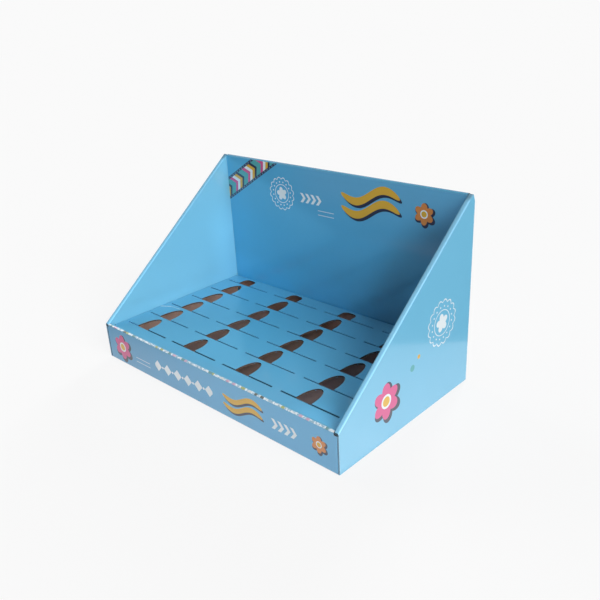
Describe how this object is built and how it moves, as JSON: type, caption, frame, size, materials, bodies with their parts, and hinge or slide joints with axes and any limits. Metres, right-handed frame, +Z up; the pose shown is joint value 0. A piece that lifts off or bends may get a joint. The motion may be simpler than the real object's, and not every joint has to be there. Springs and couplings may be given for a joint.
{
  "type": "counter display box",
  "caption": "Printed corrugated counter display tray with sloped sides, a tall back, a low front lip and a slotted platform for hanging packs.",
  "frame": {"origin": "centre of the underside", "axes": "+Z up, +X along the width to the right, -Y towards the low front lip"},
  "size_m": [0.35, 0.204, 0.2],
  "materials": {
    "printed_board": "gloss film over print",
    "platform_board": "gloss film over print"
  },
  "bodies": {
    "root": {"tray": "printed_board", "platform": "platform_board"}
  },
  "joints": []
}
